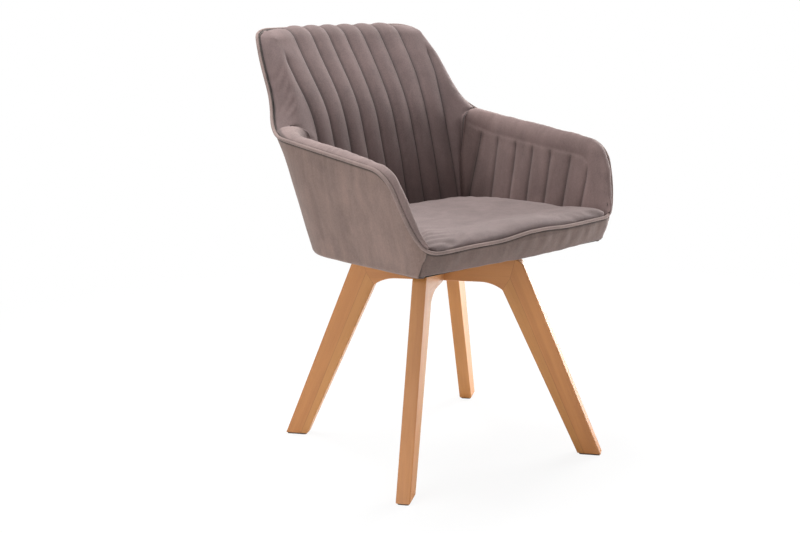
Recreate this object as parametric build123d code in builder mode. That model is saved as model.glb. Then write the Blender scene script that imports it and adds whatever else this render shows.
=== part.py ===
"""Swivel dining chair: a padded bucket seat that turns on a four-leg beech base.

Millimetres, +Z up, the front of the seat faces -Y and +X is its right-hand side in plan.
The origin is on the floor, on the swivel axis.
"""
from build123d import *
from math import asin, atan2, cos, radians, sin, sqrt, tan
import os

os.makedirs("parts", exist_ok=True)

# ---------------------------------------------------------------- bucket, outer surface
hem_height = 427            # lower edge of the fabric cover
elbow_height = 620          # where the bucket is widest, under the arm tops
shoulder_height = 700
total_height = 852          # top edge of the back

hem_half_width = 250
elbow_half_width = 291
shoulder_half_width = 287
crown_half_width = 237

hem_back = 177              # how far the back lies behind the swivel axis at each height
elbow_back = 220
shoulder_back = 244
crown_back = 341

hem_corner = 119            # plan radius of the back corners
elbow_corner = 124
shoulder_corner = 62
crown_corner = 66
back_bow = 900              # plan radius of the back between its corners

hem_front = 221             # how far the front border lies before the axis, at the hem
border_front = 243          # and at its welt
border_height = 470         # top of the front border
front_bulge = 10
hem_front_corner = 14       # plan radius of the front corners at the hem
front_corner = 26           # and from the welt up
top_corner = 55             # corner radius of the back as seen from the front

cover_thickness = 3
former_thickness = 8
seat_gap = 0.5              # clearance of the board inside the former
cushion_gap = 1.2           # clearance of the cushion between the pads

# ---------------------------------------------------------------- rim, as seen from the side
nose_front = 188            # where the lines of arm front and arm top would meet
nose_height = 617
nose_radius = 75
nape_behind = 180           # where the lines of arm top and back edge would meet
nape_height = 660
nape_radius = 110
back_edge_slope = 0.665     # run of the back's side edge for each unit of height
welt_radius = 3.5
welt_proud = 0.5            # how far the welt's centre stands outside the cover's edge
welt_runs = 15              # straight runs of the welt along each side of the rim

# ---------------------------------------------------------------- pads
arm_crown = 9               # how far the padding stands above the rim
arm_outer_round = 5
arm_inner_round = 10
inner_hem_half_width = 222
inner_elbow_half_width = 256
inner_splay = 0.02          # how much the inner faces open for each unit of length forward
inner_corner = 110
back_pad_thickness = 46     # from the bucket's outer surface to the face of the back pad
back_face_bow = 1000        # plan radius of the back pad's face
back_channels = 10
channel_depth = 4           # how far each back channel swells between its seams
pad_top_rise = 3            # the back pad's crown above the bucket's top edge
pad_side_reach = 18         # how far the back pad's face ends inside its side seam
pad_top_round = 13          # height over which the back pad rounds over at its top
seam_blend = 30             # how gently the pad's side seam turns from the arm up the back edge
seam_turn = 20              # plan angle of the seam between arm pad and back pad
seam_behind = 150           # where that seam would cross the plane X = arm_seam_side
seam_side = 222
arm_channels = 7
arm_channel_pitch = 47
arm_channel_first = 168     # the foremost channel seam, before the axis
arm_channel_drop = 42       # plain padding between the arm top and the channel seams
arm_groove = 3.6            # depth of those seams

# ---------------------------------------------------------------- seat
board_thickness = 12
board_lift = 3              # underside of the seat board above the hem
dust_cover_thickness = 1.2
dust_opening = 178
cushion_edge_height = 482   # the cushion's rim, before it rises to its crown
cushion_crown = 10
cushion_draw = 5            # how far the cushion's sides draw in at top and bottom
cushion_front_corner = 30
former_screw_radius = 2
former_screw_length = 28
former_screw_spacing = 60

# ---------------------------------------------------------------- base
base_turn = -9.6            # how far the legs stand turned from the seat's diagonals
leg_thickness = 27.6
rail_under = 352            # underside of the rails
rail_depth = 49
foot_outer = 336            # radii of the foot at the floor
foot_inner = 288
knee_inner = 133            # the inner corner of the knee, its radius and height
knee_height = 337
knee_start = 87             # where the rail's underside starts to curve down
knee_mid = 149              # where the rail's end meets the seam between the leg's two staves
knee_mid_height = 362
knee_top = 159              # the joint line's upper end
stave_foot = 303            # radius where that seam reaches the foot
leg_outer_lean = 0.411      # run of the leg's outer edge for each unit of height
knee_round = 25
knee_inner_round = 10
edge_ease = 2
glide_thickness = 3
glide_inset = 3
glide_corner = 4
dowel_radius = 4
dowel_length = 28
dowel_height = 369          # height of the lower dowel in each knee
dowel_spacing = 14

# ---------------------------------------------------------------- swivel
plate_side = 168
plate_thickness = 3
plate_corner = 16
plate_screw_circle = 94     # radius at which screws go through the plates' corners
screw_radius = 2.5
screw_length = 30
screw_head_radius = 5
screw_head_height = 2.5
bolt_radius = 3
nut_flange_radius = 9
nut_flange_thickness = 1.5
nut_barrel_radius = 4
race_outer = 62
race_inner = 42
race_gap = 3
ball_circle = 52
ball_radius = 5
ball_count = 12
ball_clearance = 0.05
cage_thickness = 1.4
cage_margin = 1
pocket_clearance = 0.2
pin_radius = 7
pin_clearance = 0.05
pin_head_radius = 12
pin_head_height = 3
pin_head_gap = 0.3
washer_thickness = 1.5

LEGS = {"back_left": -135, "front_left": -45, "front_right": 45, "back_right": 135}


def through(z, hem, elbow, shoulder, crown):
    """A smooth value at height z through its values at the four named heights."""
    heights = (hem_height, elbow_height, shoulder_height, total_height)
    values = (hem, elbow, shoulder, crown)
    slopes = [(values[i + 1] - values[i]) / (heights[i + 1] - heights[i]) for i in range(3)]
    tangents = [slopes[0], (slopes[0] + slopes[1]) / 2, (slopes[1] + slopes[2]) / 2, slopes[2]]
    i = 0 if z < heights[1] else 1 if z < heights[2] else 2
    span = heights[i + 1] - heights[i]
    s = (z - heights[i]) / span
    return (
        values[i] * (1 + 2 * s) * (1 - s) ** 2
        + tangents[i] * span * s * (1 - s) ** 2
        + values[i + 1] * s * s * (3 - 2 * s)
        - tangents[i + 1] * span * s * s * (1 - s)
    )


def half_width(z):
    return through(z, hem_half_width, elbow_half_width, shoulder_half_width, crown_half_width)


def back_at(z):
    return through(z, hem_back, elbow_back, shoulder_back, crown_back)


def corner_at(z):
    return through(z, hem_corner, elbow_corner, shoulder_corner, crown_corner)


def rise_to_welt(z):
    return min(1, (z - hem_height) / (border_height - hem_height))


def front_at(z):
    return hem_front + (border_front - hem_front) * rise_to_welt(z)


def front_corner_at(z):
    return hem_front_corner + (front_corner - hem_front_corner) * rise_to_welt(z)


def back_corner_arc(z, inset):
    """The back corner's start, middle and end in plan, tangent to the side and to the bowed back."""
    w, b, r = half_width(z) - inset, back_at(z) - inset, corner_at(z) - inset
    bow = back_bow - inset
    bow_centre = b - bow
    corner_y = bow_centre + sqrt((bow - r) ** 2 - (w - r) ** 2)
    turn = atan2(corner_y - bow_centre, w - r)
    middle = (w - r + r * cos(turn / 2), corner_y + r * sin(turn / 2))
    return (w, corner_y), middle, (bow * cos(turn), bow_centre + bow * sin(turn))


def bucket_section(z, inset):
    """The bucket's closed plan outline at height z, set in from its outer surface."""
    w, b, f = half_width(z) - inset, back_at(z) - inset, front_at(z) - inset
    r = front_corner_at(z) - inset * 0.6
    start, middle, end = back_corner_arc(z, inset)
    quarter = r * (1 - cos(radians(45)))
    with BuildSketch(Plane.XY.offset(z)) as section:
        with BuildLine():
            ThreePointArc((0, -f - front_bulge), ((w - r) / 2, -f - front_bulge * 0.75), (w - r, -f))
            ThreePointArc((w - r, -f), (w - quarter, -f + quarter), (w, -f + r))
            Line((w, -f + r), start)
            ThreePointArc(start, middle, end)
            bow = back_bow - inset
            half = atan2(end[0], end[1] - b + bow) / 2
            ThreePointArc(end, (bow * sin(half), b - bow + bow * cos(half)), (0, b))
            mirror(about=Plane.YZ)
        make_face()
    return section.sketch


def bucket_levels():
    return [
        hem_height,
        border_height,
        (border_height + elbow_height) / 2,
        elbow_height,
        (elbow_height + shoulder_height) / 2,
        shoulder_height,
        (shoulder_height + total_height) / 2,
        total_height,
    ]


def rim_region(raise_by):
    """Everything behind and under the rim as a slab across the chair, its edge raised square to the rim."""
    lean = (border_front - nose_front) / (nose_height - border_height)
    top_slope = (nape_height - nose_height) / (nape_behind + nose_front)
    front_start = -border_front - lean * border_height - raise_by * sqrt(1 + lean**2)
    top_start = nose_height + top_slope * nose_front + raise_by * sqrt(1 + top_slope**2)
    edge_start = nape_behind - back_edge_slope * nape_height - raise_by * sqrt(1 + back_edge_slope**2)
    nose_z = (top_start + top_slope * front_start) / (1 - top_slope * lean)
    nape_z = (top_start + top_slope * edge_start) / (1 - top_slope * back_edge_slope)
    floor_z, roof_z, far_y = hem_height - 60, total_height + 60, crown_back + 100
    nose = (front_start + lean * nose_z, nose_z)
    nape = (edge_start + back_edge_slope * nape_z, nape_z)
    with BuildPart() as region:
        with BuildSketch(Plane.YZ) as side:
            with BuildLine():
                Polyline(
                    (front_start + lean * border_height, border_height),
                    nose,
                    nape,
                    (edge_start + back_edge_slope * roof_z, roof_z),
                    (far_y, roof_z),
                    (far_y, floor_z),
                    (-border_front - 60, floor_z),
                    (-border_front - 60, border_height),
                    close=True,
                )
            make_face()
            fillet(side.vertices().sort_by_distance(nose)[0], radius=nose_radius + raise_by)
            fillet(side.vertices().sort_by_distance(nape)[0], radius=nape_radius - raise_by)
        extrude(amount=elbow_half_width + 50, both=True)
    return region.part


def top_region(raise_by):
    """The back's front view: a tall slab with the two top corners rounded off."""
    side_reach = elbow_half_width + 50
    crown = crown_half_width + raise_by
    with BuildPart() as region:
        with BuildSketch(Plane.XZ) as front:
            with BuildLine():
                top_z, floor_z = total_height + raise_by, hem_height - 50
                shoulder_z = total_height - top_corner
                shoulder = (half_width(shoulder_z) + raise_by, shoulder_z)
                edge = (crown - top_corner, top_z)
                swing = top_corner * (1 - cos(radians(45)))
                Polyline((0, floor_z), (side_reach, floor_z), (side_reach, shoulder_z), shoulder)
                ThreePointArc(shoulder, (crown - swing, top_z - swing), edge)
                Polyline(edge, (0, top_z), (0, floor_z))
            make_face()
            mirror(about=Plane.YZ)
        extrude(amount=crown_back + 100, both=True)
    return region.part


def front_zone(reach):
    """The wedge of plan between the two corner seams of the front border."""
    inner = half_width(border_height) - 2 * front_corner
    inner_y = -border_front + 2 * front_corner
    with BuildPart() as zone:
        with BuildSketch(Plane.XY.offset(hem_height - 50)):
            with BuildLine():
                Polyline(
                    (inner, inner_y),
                    (inner + reach, inner_y - reach),
                    (-inner - reach, inner_y - reach),
                    (-inner, inner_y),
                    close=True,
                )
            make_face()
        extrude(amount=total_height)
    return zone.part


def inner_side(z, y=0):
    """Half the distance between the arm pads' inner faces at height z and depth y."""
    rise = (inner_elbow_half_width - inner_hem_half_width) / (elbow_height - hem_height)
    return inner_hem_half_width + rise * (z - hem_height) - inner_splay * y


def face_at(z):
    """How far behind the axis the back pad's face lies, on the centre line."""
    return back_at(z) - back_pad_thickness


def cavity_section(z):
    """The sitting space between the arm pads in plan, open to the front."""
    b, r, far = face_at(z), inner_corner, border_front + 100
    w = inner_side(z, b - r)
    quarter = r * (1 - cos(radians(45)))
    with BuildSketch(Plane.XY.offset(z)) as section:
        with BuildLine():
            Polyline((0, -far), (inner_side(z, -far), -far), (w, b - r))
            ThreePointArc((w, b - r), (w - quarter, b - quarter), (w - r, b))
            Line((w - r, b), (0, b))
            mirror(about=Plane.YZ)
        make_face()
    return section.sketch


def seam_side_of_chair(behind):
    """A half space behind or before the two seams between arm pads and back pad."""
    slope = tan(radians(seam_turn))
    reach = elbow_half_width + 60
    edge_y = seam_behind + slope * (reach - seam_side)
    kink_y = seam_behind - slope * seam_side
    far = crown_back + 100 if behind else -border_front - 100
    with BuildPart() as side:
        with BuildSketch(Plane.XY.offset(hem_height - 50)):
            with BuildLine():
                Polyline(
                    (-reach, far),
                    (-reach, edge_y),
                    (0, kink_y),
                    (reach, edge_y),
                    (reach, far),
                    close=True,
                )
            make_face()
        extrude(amount=total_height)
    return side.part


def back_pad_section(z, thickness_share):
    """The back pad in plan at height z: rear on the bucket, rounded sides, a row of swelling channels."""
    inset = cover_thickness / 2
    rim_y = nape_behind + back_edge_slope * (z - nape_height)
    start, middle, end = back_corner_arc(z, inset)
    low_y = seam_behind - pad_side_reach
    side_y = (rim_y + low_y + sqrt((rim_y - low_y) ** 2 + seam_blend**2)) / 2
    side_y = min(side_y, end[1] - pad_side_reach / 2)
    w, r = half_width(z) - inset, corner_at(z) - inset
    centre_y = start[1]
    side_x = w if side_y < centre_y else w - r + sqrt(r**2 - (side_y - centre_y) ** 2)
    bow = back_bow - inset
    b = back_at(z) - inset
    depth = (back_pad_thickness - inset) * thickness_share
    face_x = side_x - pad_side_reach
    mid_y = (side_y + end[1]) / 2
    mid_x = w if mid_y < centre_y else w - r + sqrt(r**2 - (mid_y - centre_y) ** 2)

    def face_y(x):
        return b - depth - (back_face_bow - sqrt(back_face_bow**2 - x**2))

    swell = channel_depth * thickness_share
    pitch = 2 * face_x / back_channels
    half = atan2(end[0], end[1] - b + bow) / 2
    with BuildSketch(Plane.XY.offset(z)) as section:
        with BuildLine():
            for i in range(back_channels // 2):
                left, right = i * pitch, (i + 1) * pitch
                crest = ((left + right) / 2, (face_y(left) + face_y(right)) / 2 - swell)
                ThreePointArc((left, face_y(left)), crest, (right, face_y(right)))
            corner = (face_x, face_y(face_x))
            bulge = (corner[0] + pad_side_reach * 0.8, corner[1] + (side_y - corner[1]) * 0.35)
            ThreePointArc(corner, bulge, (side_x, side_y))
            ThreePointArc((side_x, side_y), (mid_x, mid_y), end)
            ThreePointArc(end, (bow * sin(half), b - bow + bow * cos(half)), (0, b))
            mirror(about=Plane.YZ)
        make_face()
    return section.sketch


def arm_seam_tool(place, depth):
    """A thin wedge along the arm pad's inner face, with the channel seam's depth."""
    low_z = border_height - 15
    straight = face_at(elbow_height) - inner_corner + arm_channel_first
    turn = max(0, place - straight) / inner_corner
    y = -arm_channel_first + min(place, straight) + inner_corner * sin(turn)
    pull = inner_corner * (1 - cos(turn))
    top_slope = (nape_height - nose_height) / (nape_behind + nose_front)
    high_z = nose_height + top_slope * (y + nose_front) - arm_channel_drop
    fall = back_at(elbow_height) - back_at(low_z)
    low = Vector(inner_side(low_z, y) - pull, y - fall * (turn > 0), low_z)
    high = Vector(inner_side(high_z, y) - pull, y, high_z)
    inward = Vector(-cos(turn), -sin(turn), 0)
    along = (high - low).normalized()
    plane = Plane(origin=low, x_dir=inward.cross(along), z_dir=along)
    with BuildPart() as tool:
        with BuildSketch(plane):
            with BuildLine():
                Polyline((-depth, -depth), (depth, -depth), (0, depth), close=True)
            make_face()
        extrude(amount=(high - low).length)
    return tool.part


# ---------------------------------------------------------------- screws through former and board
board_bottom = hem_height + board_lift
board_top = board_bottom + board_thickness
screw_height = board_bottom + board_thickness / 2


def former_screw(x, y, turn):
    """A countersunk screw lying across the board's edge, its head just inside the cover."""
    shank = extrude(Plane.YZ * Circle(former_screw_radius), amount=-former_screw_length)
    head = Plane.YZ * Circle(2 * former_screw_radius)
    head = extrude(head, amount=-former_screw_radius, taper=45) + shank
    return Pos(x, y, screw_height) * Rot(0, 0, turn) * head


screw_x = half_width(screw_height) - cover_thickness - 1
screw_y = back_at(screw_height) - cover_thickness - 1
screw_drop = back_bow - sqrt(back_bow**2 - former_screw_spacing**2)
screw_y -= screw_drop
former_screw_set = [former_screw(x, screw_y, 90) for x in (-former_screw_spacing, former_screw_spacing)]
for y in (-former_screw_spacing * 2, -former_screw_spacing / 2):
    former_screw_set += [former_screw(screw_x, y, 0), former_screw(-screw_x, y, 180)]

# ---------------------------------------------------------------- bucket
levels = bucket_levels()
outer_solid = loft([bucket_section(z, 0) for z in levels])
outer_solid = outer_solid & rim_region(0) & top_region(0)
hard_solid = loft([bucket_section(z, cover_thickness) for z in levels])
hollow_solid = loft([bucket_section(z, cover_thickness + former_thickness) for z in levels])
corner_wedge = front_zone(front_corner * 3)

with BuildPart() as outer_cover:
    add(outer_solid)
    add(hard_solid, mode=Mode.SUBTRACT)
    add(corner_wedge, mode=Mode.SUBTRACT)

with BuildPart() as bucket_former:
    add(outer_solid & hard_solid)
    add(hollow_solid, mode=Mode.SUBTRACT)
    add(corner_wedge, mode=Mode.SUBTRACT)
    for screw in former_screw_set:
        add(screw, mode=Mode.SUBTRACT)

# ---------------------------------------------------------------- arm pads
blank = loft([bucket_section(z, cover_thickness / 2) for z in levels])
cavity = loft([cavity_section(z) for z in (hem_height, elbow_height, shoulder_height)])


def is_rim_face(face):
    """Faces cut square across the chair by the rim's side view."""
    normal = face.normal_at()
    return abs(normal.X) < 0.01 and (normal.Z > 0.2 or normal.Y < -0.5) and face.center().Z > border_height


def arm_middle(z):
    return (half_width(z) + inner_side(z)) / 2


with BuildPart() as arm_pad_right:
    add(blank & rim_region(arm_crown) & seam_side_of_chair(behind=False))
    add(cavity, mode=Mode.SUBTRACT)
    split(bisect_by=Plane.YZ, keep=Keep.TOP)
    split(bisect_by=Plane.XY.offset(board_top), keep=Keep.TOP)
    add(corner_wedge, mode=Mode.SUBTRACT)
    for inner, rounding in ((True, arm_inner_round), (False, arm_outer_round)):
        rim_edges = arm_pad_right.faces().filter_by(is_rim_face).edges().filter_by(Axis.X, reverse=True)
        edges = [e for e in rim_edges if (e.center().X < arm_middle(e.center().Z)) == inner]
        fillet(edges, radius=rounding)
    for i in range(arm_channels):
        add(arm_seam_tool(i * arm_channel_pitch, arm_groove), mode=Mode.SUBTRACT)
    add(outer_cover.part, mode=Mode.SUBTRACT)
    add(bucket_former.part, mode=Mode.SUBTRACT)

with BuildPart() as arm_pad_left:
    mirror(arm_pad_right.part, about=Plane.YZ)

with BuildPart() as back_pad:
    shoulder_top = total_height - pad_top_round
    steps = 6
    rise = (shoulder_top - board_top) / (steps - 1)
    loft([back_pad_section(board_top + i * rise, 1) for i in range(steps)])
    crown = pad_top_round + pad_top_rise
    arcs = [radians(a) for a in (0, 30, 55, 75)]
    loft([back_pad_section(shoulder_top + crown * sin(a), cos(a)) for a in arcs], ruled=True)
    add(top_region(pad_top_rise) & seam_side_of_chair(behind=True), mode=Mode.INTERSECT)
    add(outer_cover.part, mode=Mode.SUBTRACT)
    add(bucket_former.part, mode=Mode.SUBTRACT)

# ---------------------------------------------------------------- front border and cushion
border_thickness = cover_thickness + former_thickness

with BuildPart() as front_border:
    add(loft([bucket_section(z, 0) for z in levels[:3]]))
    add(loft([bucket_section(z, border_thickness) for z in levels[:3]]), mode=Mode.SUBTRACT)
    add(corner_wedge, mode=Mode.INTERSECT)
    split(bisect_by=Plane.XY.offset(border_height), keep=Keep.BOTTOM)


def cushion_section(z, at_z, front, draw):
    """The cushion's plan outline at height z, fitted to the space between the pads at at_z."""
    r, rf = inner_corner, cushion_front_corner
    rear = face_at(at_z) - channel_depth - cushion_gap - draw
    w = inner_side(at_z, rear - r) - cushion_gap - draw
    w_front = inner_side(at_z, rf - front) - cushion_gap - draw
    rear_side = rear - (back_face_bow - sqrt(back_face_bow**2 - (w - r) ** 2))
    f = front - draw
    quarter, front_quarter = r * (1 - cos(radians(45))), rf * (1 - cos(radians(45)))
    with BuildSketch(Plane.XY.offset(z)) as section:
        with BuildLine():
            half = (w_front - rf) / 2
            ThreePointArc((0, -f - front_bulge), (half, -f - front_bulge * 0.75), (2 * half, -f))
            ThreePointArc(
                (2 * half, -f),
                (w_front - front_quarter, -f + front_quarter),
                (w_front, -f + rf),
            )
            Line((w_front, -f + rf), (w, rear_side - r))
            ThreePointArc((w, rear_side - r), (w - quarter, rear_side - quarter), (w - r, rear_side))
            ThreePointArc((w - r, rear_side), ((w - r) / 2, rear * 0.75 + rear_side * 0.25), (0, rear))
            mirror(about=Plane.YZ)
        make_face()
    return section.sketch


with BuildPart() as seat_cushion:
    low_front = front_at(board_top) - border_thickness - cushion_gap
    top_front = border_front - 2 * welt_radius - cushion_gap
    low_step = (border_height - board_top) / 2
    loft(
        [
            cushion_section(board_top + i * low_step, board_top, low_front, draw)
            for i, draw in enumerate((cushion_draw, 0, 0))
        ]
    )
    half_rise = (cushion_edge_height - border_height) / 2
    profile = [
        (border_height, 0.5),
        (border_height + half_rise, 0),
        (cushion_edge_height, 0.5),
        (cushion_edge_height + cushion_crown * 0.5, 3),
        (cushion_edge_height + cushion_crown * 0.85, 9),
        (cushion_edge_height + cushion_crown, 20),
    ]
    loft(
        [cushion_section(z, border_height, top_front, cushion_draw * share) for z, share in profile],
        ruled=True,
    )

# ---------------------------------------------------------------- welts


def rim_point(y, z, out):
    """Where the bucket's outer surface lies at depth y and height z, moved outward by out."""
    start, middle, end = back_corner_arc(z, -out)
    w, r = half_width(z) + out, corner_at(z) + out
    bow = back_bow + out
    bow_centre = back_at(z) + out - bow
    front_r = front_corner_at(z)
    front_start = front_r - front_at(z)
    if y < front_start:
        return (w - front_r - out + sqrt(max(0, (front_r + out) ** 2 - (front_start - y) ** 2)), y, z)
    if y < start[1]:
        return (w, y, z)
    if y < end[1]:
        return (w - r + sqrt(r**2 - (y - start[1]) ** 2), y, z)
    return (sqrt(bow**2 - (y - bow_centre) ** 2), y, z)


def rim_side_view():
    """The rim's edge in side view, from the front border's corner to where the top corner begins."""
    low, high = border_height + welt_radius, total_height - top_corner / 2
    with BuildLine() as view:
        FilletPolyline(
            (-border_front, low),
            (-nose_front, nose_height),
            (nape_behind, nape_height),
            (nape_behind + back_edge_slope * (high - nape_height), high),
            radius=(nose_radius, nape_radius),
        )
    return view.wire()


def even_radii(points):
    """Bends as large as the runs beside them allow."""
    radii = []
    for before, corner, after in zip(points, points[1:], points[2:]):
        one, two = Vector(corner) - Vector(before), Vector(after) - Vector(corner)
        turn = radians(one.get_angle(two))
        radii.append(0.45 * min(one.length, two.length) / tan(turn / 2))
    return radii


with BuildPart() as rim_welt:
    view = rim_side_view()
    stations = [view @ (i / welt_runs) for i in range(welt_runs + 1)]
    right = [rim_point(station.X, station.Y, welt_proud) for station in stations]
    for share in (1, 1 / 2):
        top_x = (crown_half_width - top_corner) * share
        top_y = crown_back - back_bow + sqrt(back_bow**2 - top_x**2)
        right.append((top_x, top_y + welt_proud, total_height))
    run = right + [(-x, y, z) for x, y, z in reversed(right)]
    with BuildLine() as route:
        FilletPolyline(*run, radius=even_radii(run))
    with BuildSketch(Plane(origin=route.wire() @ 0, z_dir=route.wire() % 0)):
        Circle(welt_radius)
    sweep(path=route.wire())

with BuildPart() as front_welt:
    welt_y = border_front - welt_radius
    welt_x = half_width(border_height) - front_corner
    welt_z = border_height + welt_radius
    with BuildLine() as front_route:
        ThreePointArc(
            (-welt_x, -welt_y, welt_z),
            (0, -welt_y - front_bulge, welt_z),
            (welt_x, -welt_y, welt_z),
        )
    with BuildSketch(Plane(origin=front_route.wire() @ 0, z_dir=front_route.wire() % 0)):
        Circle(welt_radius)
    sweep(path=front_route.wire())

# ---------------------------------------------------------------- swivel heights
rail_top = rail_under + rail_depth
lower_plate_top = rail_top + plate_thickness
race_centre = (lower_plate_top + board_bottom - plate_thickness) / 2
lower_race_top = race_centre - race_gap / 2
upper_race_bottom = race_centre + race_gap / 2
upper_plate_bottom = board_bottom - plate_thickness
washer_bottom = board_bottom + pin_head_gap
pin_head_bottom = washer_bottom + washer_thickness + pin_head_gap
corner_turns = (45, 135, 225, 315)


def disc(radius, low, high):
    """A plain cylinder on the swivel axis between two heights."""
    return Solid.make_cylinder(radius, high - low, Plane.XY.offset(low))


def ring(outer, inner, low, high):
    return disc(outer, low, high) - disc(inner, low - 1, high + 1)


def set_round(piece, circle, turns):
    """Copies of a piece standing on the axis, moved out to a circle at each of the turns."""
    return [Rot(0, 0, turn) * Pos(circle, 0, 0) * piece for turn in turns]


# ---------------------------------------------------------------- seat board, screws and dust cover
tee_nut = disc(nut_flange_radius, board_top - nut_flange_thickness, board_top)
tee_nut = tee_nut + disc(nut_barrel_radius, upper_plate_bottom + 2 * plate_thickness, board_top)
bolt = disc(bolt_radius, upper_plate_bottom - 1, board_top)
bolt_head = disc(screw_head_radius, upper_plate_bottom - screw_head_height, upper_plate_bottom)
nut_places = set_round(tee_nut, plate_screw_circle, corner_turns)
bolt_places = set_round(bolt, plate_screw_circle, corner_turns)


with BuildPart() as former_screws:
    for screw in former_screw_set:
        add(screw)

board_outline = bucket_section(hem_height, border_thickness + seat_gap)
dust_outline = bucket_section(hem_height, cover_thickness)

with BuildPart() as seat_board:
    extrude(board_outline.moved(Pos(0, 0, board_lift)), amount=board_thickness)
    add(disc(pin_head_radius + 3, board_bottom, pin_head_bottom + pin_head_height + 1), mode=Mode.SUBTRACT)
    for nut, shank in zip(nut_places, bolt_places):
        add(nut, mode=Mode.SUBTRACT)
        add(shank, mode=Mode.SUBTRACT)
    for screw in former_screw_set:
        add(screw, mode=Mode.SUBTRACT)

with BuildPart() as tee_nuts:
    for nut, shank in zip(nut_places, bolt_places):
        add(nut - shank)

with BuildPart() as upper_plate_bolts:
    for shank, head in zip(bolt_places, set_round(bolt_head, plate_screw_circle, corner_turns)):
        add(shank + head)

with BuildPart() as dust_cover:
    extrude(dust_outline, amount=-dust_cover_thickness)
    with BuildSketch(Plane.XY.offset(hem_height)):
        RectangleRounded(dust_opening, dust_opening, plate_corner)
    extrude(amount=-dust_cover_thickness, mode=Mode.SUBTRACT)

# ---------------------------------------------------------------- swivel bearing


def race_groove(centre, clearance):
    """The path that the balls take, as a torus cut out of both races."""
    return Solid.make_torus(ball_circle, ball_radius + clearance, Plane.XY.offset(centre))


with BuildPart() as upper_plate:
    with BuildSketch(Plane.XY.offset(upper_plate_bottom)):
        RectangleRounded(plate_side, plate_side, plate_corner)
        Circle(pin_radius + pin_clearance, mode=Mode.SUBTRACT)
    extrude(amount=plate_thickness)
    for shank in bolt_places:
        add(shank, mode=Mode.SUBTRACT)

with BuildPart() as upper_race:
    add(ring(race_outer, race_inner, upper_race_bottom, upper_plate_bottom))
    add(race_groove(race_centre, ball_clearance), mode=Mode.SUBTRACT)

with BuildPart() as ball_cage:
    cage_low = race_centre - cage_thickness / 2
    add(ring(race_outer - cage_margin, race_inner + cage_margin, cage_low, cage_low + cage_thickness))
    with Locations((0, 0, race_centre)):
        with PolarLocations(ball_circle, ball_count):
            Cylinder(ball_radius + pocket_clearance, 2 * cage_thickness, mode=Mode.SUBTRACT)

with BuildPart() as bearing_balls:
    with Locations((0, 0, race_centre)):
        with PolarLocations(ball_circle, ball_count):
            Sphere(ball_radius)

with BuildPart() as lower_race:
    add(ring(race_outer, race_inner, lower_plate_top, lower_race_top))
    add(race_groove(race_centre, ball_clearance), mode=Mode.SUBTRACT)

with BuildPart() as king_pin:
    add(disc(pin_radius, rail_top, pin_head_bottom))
    add(disc(pin_head_radius, pin_head_bottom, pin_head_bottom + pin_head_height))
    fillet(king_pin.faces().sort_by(Axis.Z)[-1].edges(), radius=pin_head_height / 3)

with BuildPart() as pin_washer:
    add(ring(pin_head_radius, pin_radius + pin_clearance, washer_bottom, washer_bottom + washer_thickness))

# ---------------------------------------------------------------- base
radial_plane = Plane(origin=(0, 0, 0), x_dir=(0, -1, 0), z_dir=(-1, 0, 0))
joint_line = [(knee_inner, knee_height), (knee_mid, knee_mid_height), (knee_top, rail_top)]
leg_turns = {name: turn + base_turn for name, turn in LEGS.items()}
knee_run, knee_drop = knee_inner - knee_start, rail_under - knee_height
knee_arc = (knee_run**2 + knee_drop**2) / (2 * knee_drop)
stave_line = Vector(0, knee_mid - stave_foot, -knee_mid_height)
stave_seam = Plane(origin=(0, -knee_mid, knee_mid_height), z_dir=Vector(1, 0, 0).cross(stave_line))


def knee_dowels():
    """The dowels of one knee, lying along the rail across the joint line."""
    dowels = []
    for height in (dowel_height, dowel_height + dowel_spacing):
        share = (height - knee_mid_height) / (rail_top - knee_mid_height)
        place = knee_mid + (knee_top - knee_mid) * share
        start = Plane(origin=(0, dowel_length / 2 - place, height), z_dir=(0, -1, 0))
        dowels.append(Solid.make_cylinder(dowel_radius, dowel_length, start))
    return dowels


with BuildPart() as frame_blank:
    with BuildSketch(radial_plane) as frame_view:
        corner_out = foot_outer - leg_outer_lean * rail_top
        swing = asin(knee_run / knee_arc) / 2
        middle = (knee_start + knee_arc * sin(swing), rail_under - knee_arc * (1 - cos(swing)))
        with BuildLine():
            Line((0, rail_under), (knee_start, rail_under))
            ThreePointArc((knee_start, rail_under), middle, joint_line[0])
            Polyline(
                joint_line[0],
                (foot_inner, glide_thickness),
                (foot_outer - leg_outer_lean * glide_thickness, glide_thickness),
                (corner_out, rail_top),
                (0, rail_top),
            )
            mirror(about=Plane.YZ)
        make_face()
        knees = [v for v in frame_view.vertices() if abs(abs(v.X) - corner_out) < 0.01]
        fillet(knees, radius=knee_round)
        inner = [v for v in frame_view.vertices() if abs(v.Y - knee_height) < 0.01]
        fillet(inner, radius=knee_inner_round)
    extrude(amount=leg_thickness / 2, both=True)
    half_thick = leg_thickness / 2
    long_edges = [e for e in frame_blank.edges() if abs(abs(e.center().X) - half_thick) < 0.01]
    fillet(long_edges, radius=edge_ease)

with BuildPart() as rail_space:
    with BuildSketch(radial_plane):
        with BuildLine():
            low = (2 * knee_inner - knee_mid, 2 * knee_height - knee_mid_height)
            Polyline((0, low[1]), low, *joint_line[1:], (knee_top, 2 * rail_top), (0, 2 * rail_top))
            mirror(about=Plane.YZ)
        make_face()
    extrude(amount=leg_thickness, both=True)

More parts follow.
